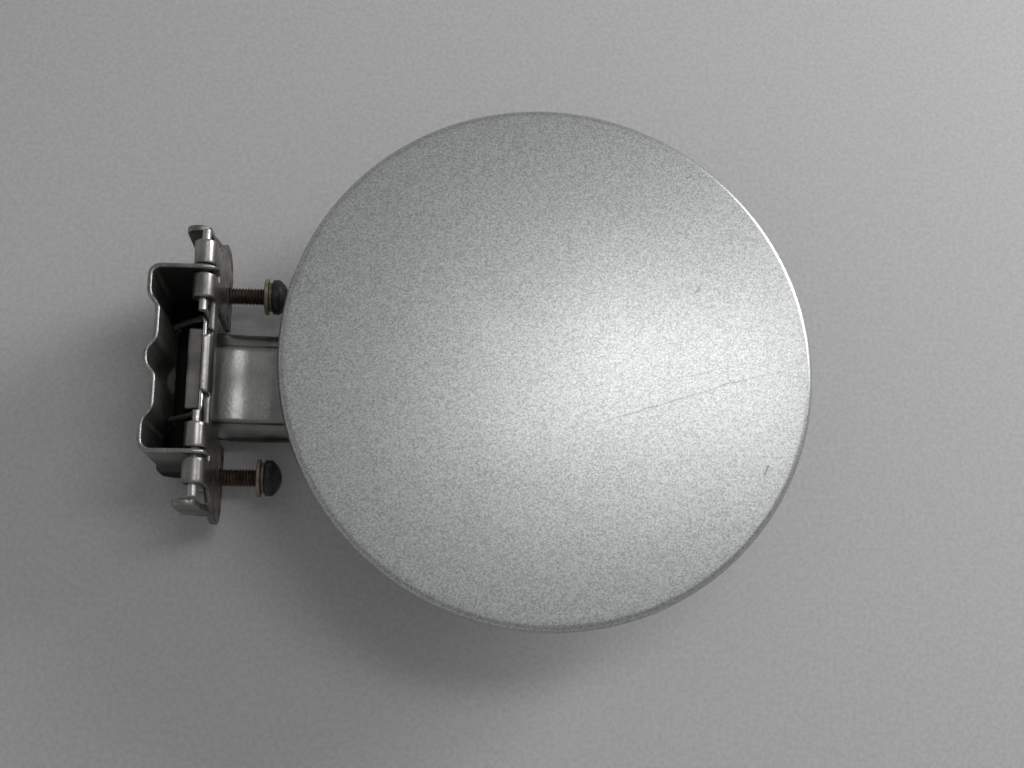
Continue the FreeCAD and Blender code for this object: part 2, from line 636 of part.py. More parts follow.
# Latch striker: a bent tongue welded under the inner panel, on the side away from the hinge.
def build_striker():
    body = new_body("latch_striker")
    leg = "(" + DOOR_X + " + Dims.striker_reach)"
    outer = "(Dims.striker_bend + Dims.striker_gauge)"
    low = "(" + DISH_Z + " - Dims.striker_drop)"
    under = "(" + DISH_Z + " - Dims.striker_gauge)"
    section = new_sketch(body, "striker_section", "XZ_Plane")
    draw(section, [
        (leg + " - Dims.striker_foot", DISH_Z),
        (leg + " - Dims.striker_foot", under),
        (leg + " - " + outer, under, "Dims.striker_bend", -1),
        (leg + " - Dims.striker_gauge", under + " - Dims.striker_bend"),
        (leg + " - Dims.striker_gauge", low + " + " + outer, outer, 1),
        (leg + " + Dims.striker_bend", low),
        (leg + " + Dims.striker_lip", low),
        (leg + " + Dims.striker_lip", low + " + Dims.striker_gauge"),
        (leg + " + Dims.striker_bend", low + " + Dims.striker_gauge", "Dims.striker_bend", -1),
        (leg, low + " + " + outer),
        (leg, under + " - Dims.striker_bend", outer, 1),
        (leg + " - " + outer, DISH_Z),
    ])
    pad(body, section, "tongue", "Dims.striker_width", symmetric=True)
    return body


# Hinge pins: two short rods, each through two knuckles and an ear, stopped by the bracket's lug.
def build_pins():
    body = new_body("hinge_pin")
    section = new_sketch(body, "pin_section", "XZ_Plane", "-Dims.pin_inner")
    draw_circle(section, PIN_X, PIN_Z, "Dims.pin_dia", "pin")
    pad(body, section, "rod", LUG_INNER + " - Dims.pin_end_gap - Dims.pin_inner", reversed_side=True)
    return both_sides("hinge_pins", body)


# Fasteners: a screw with its lock washer and flat washer, run part of the way into a welded nut.
HEAD_X = "(Dims.screw_stand_out + Dims.washer_height + Dims.lock_height)"
THREAD_R = "Dims.thread_dia / 2"
CLEAR_DIA = "(Dims.thread_dia + 2 * Dims.thread_play)"


def build_screws():
    body = new_body("mounting_screw")
    body.setExpression("Placement.Base.y", "Dims.screw_half_pitch")
    end = HEAD_X + " + Dims.head_height"
    dome = "(Dims.head_height - Dims.head_side)"
    dome_r = "(((Dims.head_dia / 2) ^ 2 + " + dome + " ^ 2) / (2 * " + dome + "))"
    section = new_sketch(body, "screw_section", "XZ_Plane")
    draw(section, [
        ("-Dims.screw_tip", "0"),
        (end, "0", dome_r, 1),
        (HEAD_X + " + Dims.head_side", "Dims.head_dia / 2"),
        (HEAD_X, "Dims.head_dia / 2"),
        (HEAD_X, THREAD_R),
        ("Dims.tip_chamfer - Dims.screw_tip", THREAD_R),
        ("-Dims.screw_tip", THREAD_R + " - Dims.tip_chamfer"),
    ])
    revolve(body, section, "turned_screw", "X_Axis")
    return both_sides("mounting_screws", body)


def build_ring(label, start, height, diameter, slit=None):
    """Washer on the screw's axis, split on one side if a slit is given."""
    body = new_body(label + "_single")
    body.setExpression("Placement.Base.y", "Dims.screw_half_pitch")
    section = new_sketch(body, label + "_section", "YZ_Plane", start)
    draw_circle(section, "0", "0", diameter, "rim")
    draw_circle(section, "0", "0", CLEAR_DIA, "bore")
    pad(body, section, label + "_ring", height)
    if slit:
        gap = new_sketch(body, label + "_slit", "YZ_Plane", start + " + " + height)
        draw(gap, [
            ("-" + slit + " / 2", "0"),
            (slit + " / 2", "0"),
            (slit + " / 2", diameter),
            ("-" + slit + " / 2", diameter),
        ])
        pocket(body, gap, label + "_slit_cut", height)
    return both_sides(label, body)


def build_nuts():
    body = new_body("weld_nut")
    body.setExpression("Placement.Base.y", "Dims.screw_half_pitch")
    side = "Dims.nut_side / 2"
    flat = "(Dims.nut_side / 2 - Dims.nut_round)"
    section = new_sketch(body, "nut_section", "YZ_Plane", PLATE_BACK)
    draw(section, [
        ("-" + flat, "-" + side),
        (flat, "-" + side, "Dims.nut_round", 1),
        (side, "-" + flat),
        (side, flat, "Dims.nut_round", 1),
        (flat, side),
        ("-" + flat, side, "Dims.nut_round", 1),
        ("-" + side, flat),
        ("-" + side, "-" + flat, "Dims.nut_round", 1),
    ])
    draw_circle(section, "0", "0", CLEAR_DIA, "bore")
    pad(body, section, "nut_block", "Dims.nut_height", reversed_side=True)
    return both_sides("weld_nuts", body)


# Spring wire: one bent rod, its straight middle under the hook and each end on a pad of the web.
def bent_rod(points, bend, radius):
    """Round rod along straight runs with a tangent arc at each inner point."""
    edges = []
    start = points[0]
    for before, corner, after in zip(points, points[1:], points[2:]):
        back = (before - corner).normalize()
        ahead = (after - corner).normalize()
        half_turn = back.getAngle(ahead) / 2
        setback = bend / math.tan(half_turn)
        first = corner + back * setback
        last = corner + ahead * setback
        bisector = (back + ahead).normalize()
        middle = corner + bisector * (bend / math.sin(half_turn) - bend)
        edges.append(Part.LineSegment(start, first).toShape())
        edges.append(Part.Arc(first, middle, last).toShape())
        start = last
    edges.append(Part.LineSegment(start, points[-1]).toShape())
    path = Part.Wire(edges)
    ring = Part.Wire(Part.Circle(points[0], points[1] - points[0], radius).toShape())
    return path.makePipeShell([ring], True, True)


def build_wire():
    bar_x = value(WIRE_X)
    bar_z = value(WIRE_Z)
    end_y = value("Dims.wire_half")
    foot_x = value(WEB_IN + " + Dims.pad_depth + Dims.wire_dia / 2 + Dims.pin_play")
    foot_z = value("Dims.pin_rise - Dims.wire_foot_drop")
    tip_z = foot_z - value("Dims.wire_foot_length")
    route = [FreeCAD.Vector(foot_x, end_y, tip_z), FreeCAD.Vector(foot_x, end_y, foot_z)]
    route.append(FreeCAD.Vector(bar_x, end_y, bar_z))
    route += [FreeCAD.Vector(spot.x, -spot.y, spot.z) for spot in reversed(route)]
    feature = doc.addObject("Part::Feature", "spring_wire")
    feature.Label = "spring_wire"
    feature.Shape = bent_rod(route, value("Dims.wire_bend"), value(WIRE_R))
    return feature


nodes = [
    build_skin(),
    build_inner_panel(),
    build_striker(),
    build_arm(),
    build_bracket(),
    build_pins(),
    build_wire(),
    build_screws(),
    build_ring("flat_washers", "Dims.screw_stand_out", "Dims.washer_height", "Dims.washer_dia"),
    build_ring("lock_washers", "(Dims.screw_stand_out + Dims.washer_height)", "Dims.lock_height",
               "Dims.lock_dia", "Dims.lock_slit"),
    build_nuts(),
]
doc.recompute()

for item in doc.Objects:
    if "Invalid" in item.State or "Error" in item.State:
        raise RuntimeError(item.Label + " did not recompute")
for node in nodes:
    if node.Shape.isNull() or not node.Shape.isValid():
        raise RuntimeError(node.Label + " has no valid shape")

os.makedirs("parts", exist_ok=True)
for node in nodes:
    node.Shape.exportStep("parts/" + node.Label + ".step")
    print("%-16s %d solids %9.1f mm3" % (node.Label, len(node.Shape.Solids), node.Shape.Volume))
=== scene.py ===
# %% [markdown]
# A round fuel filler door lies open beside its hinge. The frame holds the exact solids of the part.
# This lesson dresses them: pressed sheet gets soft edges, screws get threads, and each surface
# gets a finish with wear at the right scale.

# %% Load the frame
import math

import bmesh
import bpy
from mathutils import Matrix, Vector


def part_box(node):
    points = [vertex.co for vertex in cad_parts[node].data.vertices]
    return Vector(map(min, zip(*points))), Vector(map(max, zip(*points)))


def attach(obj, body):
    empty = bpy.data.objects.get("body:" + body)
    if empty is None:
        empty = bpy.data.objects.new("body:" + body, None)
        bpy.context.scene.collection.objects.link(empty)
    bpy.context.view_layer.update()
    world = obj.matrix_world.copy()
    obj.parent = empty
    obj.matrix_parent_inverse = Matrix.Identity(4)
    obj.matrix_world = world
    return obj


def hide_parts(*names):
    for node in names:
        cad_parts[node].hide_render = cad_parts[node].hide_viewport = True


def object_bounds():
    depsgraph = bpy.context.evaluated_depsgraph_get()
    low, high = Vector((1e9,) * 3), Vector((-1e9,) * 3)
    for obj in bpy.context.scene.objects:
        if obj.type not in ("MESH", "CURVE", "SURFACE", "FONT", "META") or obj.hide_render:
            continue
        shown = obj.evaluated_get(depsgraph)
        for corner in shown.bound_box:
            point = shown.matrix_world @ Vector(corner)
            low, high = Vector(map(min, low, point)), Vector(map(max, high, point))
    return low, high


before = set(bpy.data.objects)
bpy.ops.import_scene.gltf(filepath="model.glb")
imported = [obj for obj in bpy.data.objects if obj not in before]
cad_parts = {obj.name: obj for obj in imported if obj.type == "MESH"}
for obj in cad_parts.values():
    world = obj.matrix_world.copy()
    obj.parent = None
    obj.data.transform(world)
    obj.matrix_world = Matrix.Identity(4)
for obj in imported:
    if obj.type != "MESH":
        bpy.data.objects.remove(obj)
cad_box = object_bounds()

MM = 0.001
print("nodes:", sorted(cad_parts))

# %% [markdown]
# Every new piece ends the same way: a mesh becomes an object, is shaded smooth except at real
# corners, rides on its body and takes its finishes. One helper does it, so that no piece is forgotten.

# %% Helper that turns a mesh into a riding piece
def make_piece(name, mesh, body, finishes, node=None, corner_deg=35.0):
    for finish in finishes:
        mesh.materials.append(finish)
    mesh.polygons.foreach_set("use_smooth", [True] * len(mesh.polygons))
    mesh.set_sharp_from_angle(angle=math.radians(corner_deg))
    piece = bpy.data.objects.new(name, mesh)
    bpy.context.scene.collection.objects.link(piece)
    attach(piece, body)
    if node:
        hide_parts(node)
    print("%-22s %6d faces on %s" % (name, len(mesh.polygons), body))
    return piece


def mesh_from(builder, name):
    bmesh.ops.recalc_face_normals(builder, faces=builder.faces)
    mesh = bpy.data.meshes.new(name)
    builder.to_mesh(mesh)
    builder.free()
    return mesh


# %% [markdown]
# Paint flakes, rust, rubbed edges and hairline scratches turn up on several pieces. Each effect is
# a small node group with its own inputs, built once and placed in many finishes. The groups give
# only masks and tints; the shader itself stays in each material.

# %% Helpers for node groups
def new_group(name, inputs, outputs):
    tree = bpy.data.node_groups.new(name, "ShaderNodeTree")
    for label, default in inputs:
        socket = tree.interface.new_socket(name=label, in_out="INPUT", socket_type="NodeSocketFloat")
        socket.default_value = default
    for label, kind in outputs:
        tree.interface.new_socket(name=label, in_out="OUTPUT", socket_type=kind)
    return tree, tree.nodes.new("NodeGroupInput"), tree.nodes.new("NodeGroupOutput")


def add(tree, kind, links=(), **settings):
    """New node with properties, and links given as (socket or constant, input name or number)."""
    node = tree.nodes.new(kind)
    for key, setting in settings.items():
        setattr(node, key, setting)
    for source, target in links:
        if isinstance(source, bpy.types.NodeSocket):
            tree.links.new(source, node.inputs[target])
        else:
            node.inputs[target].default_value = source
    return node


def ramp(tree, source, low, high, start=0.0, end=1.0):
    node = add(tree, "ShaderNodeMapRange", [
        (source, "Value"), (low, "From Min"), (high, "From Max"), (start, "To Min"), (end, "To Max")])
    return node.outputs["Result"]


def mixed(tree, factor, first, second):
    node = add(tree, "ShaderNodeMix", [(factor, 0), (first, 6), (second, 7)], data_type="RGBA")
    return node.outputs[2]


def maths(tree, operation, *values):
    node = add(tree, "ShaderNodeMath", [(value, k) for k, value in enumerate(values)], operation=operation)
    return node.outputs[0]


# %% [markdown]
# Silver paint holds tiny flakes that lie at different angles, so neighbouring grains differ in
# brightness. A cell pattern with one random tint a cell gives this at the size of the real grain.

# %% Paint flake group
flake, given, result = new_group(
    "paint_flake", [("Scale", 2800.0), ("Spread", 0.2)], [("Tint", "NodeSocketFloat")])
place = add(flake, "ShaderNodeTexCoord")
cells = add(flake, "ShaderNodeTexVoronoi", [
    (place.outputs["Object"], "Vector"), (given.outputs["Scale"], "Scale")])
parts = add(flake, "ShaderNodeSeparateColor", [(cells.outputs["Color"], 0)])
centred = maths(flake, "SUBTRACT", parts.outputs[0], 0.5)
tint = maths(flake, "MULTIPLY_ADD", centred, given.outputs["Spread"], 1.0)
flake.links.new(tint, result.inputs["Tint"])
print("group", flake.name)

# %% [markdown]
# Broad, cloudy differences in tone keep a surface from looking like one flat colour: dust, old
# polish and uneven plating. A soft noise in object space is enough.

# %% Cloud group
cloud, given, result = new_group(
    "tone_cloud", [("Scale", 40.0), ("Detail", 4.0)], [("Value", "NodeSocketFloat")])
place = add(cloud, "ShaderNodeTexCoord")
noise = add(cloud, "ShaderNodeTexNoise", [
    (place.outputs["Object"], "Vector"), (given.outputs["Scale"], "Scale"),
    (given.outputs["Detail"], "Detail")])
cloud.links.new(ramp(cloud, noise.outputs["Fac"], 0.32, 0.68), result.inputs["Value"])
print("group", cloud.name)

# %% [markdown]
# Hairline scratches are long in one direction and very thin across it. Stretching a noise along a
# turned axis and keeping only its peaks draws such lines without any image.

# %% Hairline group
hairline, given, result = new_group(
    "hairline_scratch", [("Turn", 0.31), ("Along", 9.0), ("Across", 900.0), ("Keep", 0.7)],
    [("Mask", "NodeSocketFloat")])
place = add(hairline, "ShaderNodeTexCoord")
turned_place = add(hairline, "ShaderNodeVectorRotate", [
    (place.outputs["Object"], "Vector"), (given.outputs["Turn"], "Angle")],
    rotation_type="Z_AXIS", invert=True)
stretch = add(hairline, "ShaderNodeCombineXYZ", [
    (given.outputs["Along"], 0), (given.outputs["Across"], 1), (given.outputs["Along"], 2)])
scaled = add(hairline, "ShaderNodeVectorMath", [
    (turned_place.outputs[0], 0), (stretch.outputs[0], 1)], operation="MULTIPLY")
noise = add(hairline, "ShaderNodeTexNoise", [
    (scaled.outputs[0], "Vector"), (1.0, "Scale"), (1.0, "Detail")])
peak = maths(hairline, "ADD", given.outputs["Keep"], 0.05)
line = add(hairline, "ShaderNodeMapRange", [
    (noise.outputs["Fac"], "Value"), (given.outputs["Keep"], "From Min"), (peak, "From Max")])
hairline.links.new(line.outputs["Result"], result.inputs["Mask"])
print("group", hairline.name)

# %% [markdown]
# Rust starts in spots and grows into patches with a ragged edge. The group mixes a coarse and a fine
# noise, and an amount pushes the edge outwards. Its tint runs from orange to dark brown.

# %% Rust group
rust, given, result = new_group(
    "rust_patch", [("Scale", 220.0), ("Amount", 0.3)],
    [("Mask", "NodeSocketFloat"), ("Tint", "NodeSocketColor")])
place = add(rust, "ShaderNodeTexCoord")
coarse = add(rust, "ShaderNodeTexNoise", [
    (place.outputs["Object"], "Vector"), (given.outputs["Scale"], "Scale"), (6.0, "Detail"),
    (0.65, "Roughness")])
pushed = maths(rust, "ADD", coarse.outputs["Fac"], given.outputs["Amount"])
rust.links.new(ramp(rust, pushed, 0.86, 1.0), result.inputs["Mask"])
fine = add(rust, "ShaderNodeTexNoise", [
    (place.outputs["Object"], "Vector"), (1500.0, "Scale"), (3.0, "Detail")])
rust_tint = mixed(rust, ramp(rust, fine.outputs["Fac"], 0.35, 0.65),
                  (0.028, 0.017, 0.011, 1.0), (0.13, 0.068, 0.034, 1.0))
rust.links.new(rust_tint, result.inputs["Tint"])
print("group", rust.name)

# %% [markdown]
# Edges lose their finish first. The mesh tells how pointed it is at each place, and a noise breaks
# the rubbed line up.

# %% Rubbed edge group
rubbed, given, result = new_group(
    "rubbed_edge", [("Start", 0.53), ("Scale", 500.0)], [("Mask", "NodeSocketFloat")])
shape = add(rubbed, "ShaderNodeNewGeometry")
place = add(rubbed, "ShaderNodeTexCoord")
noise = add(rubbed, "ShaderNodeTexNoise", [
    (place.outputs["Object"], "Vector"), (given.outputs["Scale"], "Scale"), (3.0, "Detail")])
broken = maths(rubbed, "MULTIPLY_ADD", noise.outputs["Fac"], 0.06, shape.outputs["Pointiness"])
start = maths(rubbed, "ADD", given.outputs["Start"], 0.03)
end = maths(rubbed, "ADD", given.outputs["Start"], 0.08)
edge = add(rubbed, "ShaderNodeMapRange", [(broken, "Value"), (start, "From Min"), (end, "From Max")])
rubbed.links.new(edge.outputs["Result"], result.inputs["Mask"])
print("group", rubbed.name)

# %% [markdown]
# A single long scratch or a small nick has a place of its own. The group measures how far a point
# lies from a short line on the face, and a slow noise keeps the line from being ruler straight.

# %% Single scratch group
single, given, result = new_group(
    "single_scratch", [("X", 0.0), ("Y", 0.0), ("Turn", 0.0), ("Length", 0.01), ("Width", 0.0002)],
    [("Mask", "NodeSocketFloat")])
place = add(single, "ShaderNodeTexCoord")
middle = add(single, "ShaderNodeCombineXYZ", [(given.outputs["X"], 0), (given.outputs["Y"], 1)])
moved = add(single, "ShaderNodeVectorMath", [
    (place.outputs["Object"], 0), (middle.outputs[0], 1)], operation="SUBTRACT")
level = add(single, "ShaderNodeVectorRotate", [
    (moved.outputs[0], "Vector"), (given.outputs["Turn"], "Angle")], rotation_type="Z_AXIS", invert=True)
axes = add(single, "ShaderNodeSeparateXYZ", [(level.outputs[0], 0)])
wander = add(single, "ShaderNodeTexNoise", [
    (place.outputs["Object"], "Vector"), (130.0, "Scale"), (1.0, "Detail")])
WANDER_REACH = 0.002
sway = maths(single, "SUBTRACT", wander.outputs["Fac"], 0.5)
shifted = maths(single, "MULTIPLY_ADD", sway, WANDER_REACH, axes.outputs["Y"])
across = maths(single, "DIVIDE", maths(single, "ABSOLUTE", shifted), given.outputs["Width"])
along = maths(single, "DIVIDE", maths(single, "ABSOLUTE", axes.outputs["X"]), given.outputs["Length"])
inside = maths(single, "MULTIPLY", ramp(single, across, 1.0, 0.4), ramp(single, along, 0.5, 0.3))
single.links.new(inside, result.inputs["Mask"])
print("group", single.name)


# %% [markdown]
# All finishes here are metal with or without paint, so one recipe with named values makes them.
# Each layer is only built where its amount is not zero, and fixed values go straight to the shader.

# %% Recipe for a finish
COAT_ROUGH = 0.12
RUST_ROUGH = 0.85
SCRATCH_ROUGH = 0.3
# Roughness added where shade is painted on the arm.
PAINTED_SHADE_ROUGH = 0.4
BUMP_DEPTH = 0.0001
LEAST_BUMP = 0.12
SCRATCH_TINT = (0.8, 0.8, 0.8, 1.0)
MARK_TINT = (0.1, 0.1, 0.1, 1.0)
# Brown tint for the arm's beads: partly a stain, partly painted shade.
BEAD_STAIN_AND_SHADE_TINT = (0.05, 0.043, 0.035, 1.0)
# Near-black painted shade for the arm's deep bend and the low part of its ears.
PAINTED_SHADE_TINT = (0.02, 0.019, 0.017, 1.0)


def placed(tree, group, **values):
    node = tree.nodes.new("ShaderNodeGroup")
    node.node_tree = group
    for label, value in values.items():
        if isinstance(value, bpy.types.NodeSocket):
            tree.links.new(value, node.inputs[label])
        else:
            node.inputs[label].default_value = value
    return node.outputs


# Painted shade on the arm: near-black colour in its deep bend and low on its ears, fading in over these
# ranges.
SHADE_EDGE = 0.0003
BEND_SHADE = (0.010, 0.001)
EAR_DEPTH = (0.0026, 0.0019)
EAR_SHADE = (0.030, 0.014, 0.0, 0.75)
# Along the beads: a brown stain tint with painted shade, darker towards the outer edge.
BEAD_STAIN_AND_SHADE = (0.0145, 0.0185, 0.0, 0.75)
NECK_BEGIN = (0.0, 0.002)


def arm_painted_shade(tree, bend_x, bend_z, bend_r, ear_y):
    """Masks for painted shade in the deep bend and low on the ears, and for painted shade with a brown
    stain's tint along the beads.
    """
    place = add(tree, "ShaderNodeTexCoord")
    axes = add(tree, "ShaderNodeSeparateXYZ", [(place.outputs["Object"], 0)])
    aside = maths(tree, "SUBTRACT", axes.outputs["X"], bend_x)
    below = maths(tree, "MINIMUM", maths(tree, "SUBTRACT", axes.outputs["Z"], bend_z), 0.0)
    squared = maths(tree, "MULTIPLY_ADD", aside, aside, maths(tree, "POWER", below, 2.0))
    inside = ramp(tree, maths(tree, "SQRT", squared), bend_r + SHADE_EDGE, bend_r - SHADE_EDGE)
    deep = maths(tree, "MULTIPLY", inside, ramp(tree, axes.outputs["Z"], *BEND_SHADE))
    offside = maths(tree, "ABSOLUTE", axes.outputs["Y"])
    outwards = ramp(tree, offside, ear_y - EAR_DEPTH[0], ear_y - EAR_DEPTH[1])
    ears = maths(tree, "MULTIPLY", outwards, ramp(tree, axes.outputs["Z"], *EAR_SHADE))
    on_neck = ramp(tree, axes.outputs["X"], *NECK_BEGIN)
    # Bead band: brown stain with painted shade, darker outward, on the neck only.
    bead = maths(tree, "MULTIPLY", ramp(tree, offside, *BEAD_STAIN_AND_SHADE), on_neck)
    return maths(tree, "MAXIMUM", deep, ears), bead


def metal_finish(name, dark, light, metallic, rough, cloud_scale=60.0, flake_spread=0.0,
                 scratch=0.0, scratch_turn=0.31, rust_amount=None, rust_band=None, edge=0.0,
                 edge_tint=(0.75, 0.75, 0.74, 1.0), coat=0.0, grain=0.0, grain_scale=900.0, marks=(),
                 painted_shade_at=None):
    material = bpy.data.materials.new(name)
    material.use_nodes = True
    tree = material.node_tree
    shader = tree.nodes["Principled BSDF"]
    shader.inputs["Metallic"].default_value = metallic
    shader.inputs["Coat Weight"].default_value = coat
    shader.inputs["Coat Roughness"].default_value = COAT_ROUGH
    tone = placed(tree, cloud, Scale=cloud_scale)["Value"]
    colour = mixed(tree, tone, dark + (1.0,), light + (1.0,))
    roughness = ramp(tree, tone, 0.0, 1.0, rough[1], rough[0])
    if flake_spread:
        tints = placed(tree, flake, Spread=flake_spread)["Tint"]
        bright = add(tree, "ShaderNodeVectorMath", [(colour, 0), (tints, 1)], operation="MULTIPLY")
        colour = bright.outputs[0]
    if scratch:
        lines = placed(tree, hairline, Turn=scratch_turn)["Mask"]
        faint = maths(tree, "MULTIPLY", lines, scratch)
        colour = mixed(tree, faint, colour, SCRATCH_TINT)
        roughness = maths(tree, "MULTIPLY_ADD", faint, SCRATCH_ROUGH, roughness)
    for x, y, turn, length, width, depth in marks:
        line = placed(tree, single, X=x, Y=y, Turn=turn, Length=length, Width=width)["Mask"]
        colour = mixed(tree, maths(tree, "MULTIPLY", line, depth), colour, MARK_TINT)
    if edge:
        mask = maths(tree, "MULTIPLY", placed(tree, rubbed)["Mask"], edge)
        colour = mixed(tree, mask, colour, edge_tint)
    if painted_shade_at:
        shade_mask, bead_mask = arm_painted_shade(tree, *painted_shade_at)
        # Brown stain with painted shade along the beads, darker outward.
        colour = mixed(tree, bead_mask, colour, BEAD_STAIN_AND_SHADE_TINT)
        # Near-black painted shade in the deep bend and low on the ears.
        colour = mixed(tree, shade_mask, colour, PAINTED_SHADE_TINT)
        roughness = maths(tree, "MULTIPLY_ADD", shade_mask, PAINTED_SHADE_ROUGH, roughness)
    height = None
    if grain:
        height = placed(tree, cloud, Scale=grain_scale, Detail=2.0)["Value"]
    if rust_amount is not None:
        amount = rust_amount
        if rust_band:
            place = add(tree, "ShaderNodeTexCoord")
            axes = add(tree, "ShaderNodeSeparateXYZ", [(place.outputs["Object"], 0)])
            amount = ramp(tree, axes.outputs["Z"], rust_band[0], rust_band[1], rust_amount, rust_band[2])
        spots = placed(tree, rust, Amount=amount)
        colour = mixed(tree, spots["Mask"], colour, spots["Tint"])
        roughness = add(tree, "ShaderNodeMix", [
            (spots["Mask"], 0), (roughness, 2), (RUST_ROUGH, 3)], data_type="FLOAT").outputs[0]
        plain = maths(tree, "MULTIPLY_ADD", spots["Mask"], -metallic, metallic)
        tree.links.new(plain, shader.inputs["Metallic"])
        height = maths(tree, "ADD", spots["Mask"], height) if height else spots["Mask"]
    if height:
        bump = add(tree, "ShaderNodeBump", [
            (height, "Height"), (max(grain, LEAST_BUMP), "Strength"), (BUMP_DEPTH, "Distance")])
        tree.links.new(bump.outputs["Normal"], shader.inputs["Normal"])
    tree.links.new(colour, shader.inputs["Base Color"])
    tree.links.new(roughness, shader.inputs["Roughness"])
    return material


# %% [markdown]
# The door and the arm wear silver car paint, the door's clean and lacquered, the arm's thin and scuffed,
# with painted shade in its deep bend and low on its ears. The bracket is plated sheet with rust on its
# legs. Screws and washers differ in age.

# %% The finishes of this object
# Marks on the door: place, direction in radians, length, width and how dark.
DOOR_MARKS = [
    (0.1425, -0.0128, 0.312, 0.0680, 0.00022, 0.45),
    (0.1520, -0.0040, 0.250, 0.0320, 0.00018, 0.30),
    (0.1687, -0.0344, 1.050, 0.0045, 0.00035, 0.75),
    (0.1488, 0.0605, 0.450, 0.0030, 0.00030, 0.55),
    (0.1494, 0.0223, 0.900, 0.0028, 0.00030, 0.55),
]
door_paint = metal_finish(
    "silver_door_paint", (0.40, 0.41, 0.408), (0.44, 0.45, 0.448), 0.9, (0.37, 0.41), cloud_scale=14.0,
    flake_spread=0.6, scratch=0.03, coat=0.25, marks=DOOR_MARKS)
inner_paint = metal_finish(
    "thin_inner_paint", (0.34, 0.35, 0.36), (0.43, 0.44, 0.45), 0.5, (0.42, 0.55), cloud_scale=30.0,
    flake_spread=0.16, grain=0.08)
# The arm's last argument places its painted shade: the deep bend's axis and radius, and the ears' outside.
arm_paint = metal_finish(
    "silver_arm_paint", (0.18, 0.18, 0.171), (0.27, 0.27, 0.258), 0.88, (0.27, 0.33), cloud_scale=90.0,
    flake_spread=0.2, scratch=0.3, scratch_turn=1.55, edge=0.5, grain=0.06,
    painted_shade_at=(-0.01395, -0.0046, 0.0051, 0.0297))  # the bend's axis and radius, the ears' outside
bracket_plate = metal_finish(
    "bracket_plating", (0.16, 0.156, 0.147), (0.31, 0.302, 0.285), 0.92, (0.28, 0.42), cloud_scale=120.0,
    scratch=0.2, scratch_turn=1.2, rust_amount=0.24, rust_band=(0.024, -0.006, 0.44), edge=0.4, grain=0.1)
pin_steel = metal_finish(
    "pin_steel", (0.36, 0.35, 0.33), (0.5, 0.49, 0.47), 0.95, (0.28, 0.4), cloud_scale=300.0,
    rust_amount=0.25, grain=0.06)
bright_wire = metal_finish(
    "bright_wire", (0.55, 0.55, 0.54), (0.72, 0.72, 0.71), 1.0, (0.2, 0.32), cloud_scale=350.0,
    scratch=0.3, scratch_turn=1.57, grain=0.05)
thread_rust = metal_finish(
    "rusty_thread", (0.03, 0.025, 0.021), (0.11, 0.085, 0.065), 0.7, (0.42, 0.6), cloud_scale=400.0,
    rust_amount=0.36, grain=0.3)
black_head = metal_finish(
    "black_screw_head", (0.012, 0.012, 0.012), (0.03, 0.029, 0.028), 0.4, (0.35, 0.55), cloud_scale=300.0,
    rust_amount=0.2, edge=0.25, edge_tint=(0.12, 0.11, 0.1, 1.0), grain=0.15)
washer_zinc = metal_finish(
    "yellowed_washer", (0.2, 0.17, 0.115), (0.4, 0.36, 0.27), 0.6, (0.4, 0.6), cloud_scale=260.0,
    rust_amount=0.24, grain=0.15)
lock_steel = metal_finish(
    "stained_lock_washer", (0.13, 0.10, 0.08), (0.27, 0.22, 0.18), 0.6, (0.45, 0.6), cloud_scale=400.0,
    rust_amount=0.3, grain=0.2)
nut_steel = metal_finish(
    "plain_nut_steel", (0.28, 0.28, 0.28), (0.42, 0.42, 0.41), 0.85, (0.4, 0.55), cloud_scale=200.0,
    rust_amount=0.29, edge=0.3, grain=0.15)
striker_plate = metal_finish(
    "striker_plating", (0.40, 0.40, 0.39), (0.55, 0.55, 0.53), 0.85, (0.3, 0.45), cloud_scale=150.0,
    scratch=0.3, scratch_turn=1.57, edge=0.4, grain=0.08)
FINISH_OF_NODE = {
    "door_skin": door_paint, "inner_panel": inner_paint, "latch_striker": striker_plate,
    "hinge_arm": arm_paint, "hinge_bracket": bracket_plate, "hinge_pins": pin_steel,
    "spring_wire": bright_wire, "mounting_screws": thread_rust, "flat_washers": washer_zinc,
    "lock_washers": lock_steel, "weld_nuts": nut_steel,
}
for node, finish in FINISH_OF_NODE.items():
    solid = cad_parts[node]
    for holder in solid.material_slots:
        holder.material = finish
print("finishes:", len(FINISH_OF_NODE))


# %% [markdown]
# The door skin is a spun-looking dish: a very flat crown, a rolled rim and a folded hem. A profile
# turned round the door's own axis gives an even surface for the long soft reflections.

# %% Turned shapes
def arc(centre, radius, first, last, steps=8):
    angles = [math.radians(first + (last - first) * k / steps) for k in range(steps + 1)]
    return [(centre[0] + radius * math.cos(a), centre[1] + radius * math.sin(a)) for a in angles]


def add_turned(builder, profile, spot, along, turns, closed=False, finish=0):
    """Adds a surface of revolution; the profile holds (radius, height) pairs."""
    along = Vector(along)
    side = along.orthogonal().normalized()
    other = along.cross(side)
    rings = []
    for radius, height in profile:
        foot = Vector(spot) + along * height
        if radius < 1e-7:
            rings.append([builder.verts.new(foot)] * turns)
        else:
            angles = [2 * math.pi * k / turns for k in range(turns)]
            rings.append([builder.verts.new(foot + (side * math.cos(a) + other * math.sin(a)) * radius)
                          for a in angles])
    if closed:
        rings.append(rings[0])
    for low, high in zip(rings, rings[1:]):
        for k in range(turns):
            after = (k + 1) % turns
            corners = list(dict.fromkeys((low[k], low[after], high[after], high[k])))
            if len(corners) > 2:
                builder.faces.new(corners).material_index = finish


SKIN_GAUGE = 0.8 * MM
RIM_ROUND = 2.4 * MM
CROWN = 2.0 * MM
HEM_WIDTH = 9.0 * MM
low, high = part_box("door_skin")
DOOR_SPOT = ((low.x + high.x) / 2, (low.y + high.y) / 2, 0.0)
DOOR_R = (high.x - low.x) / 2
FACE_Z = high.z - CROWN
HEM_Z = low.z
print("door radius %.4f m, face at %.4f m" % (DOOR_R, FACE_Z))

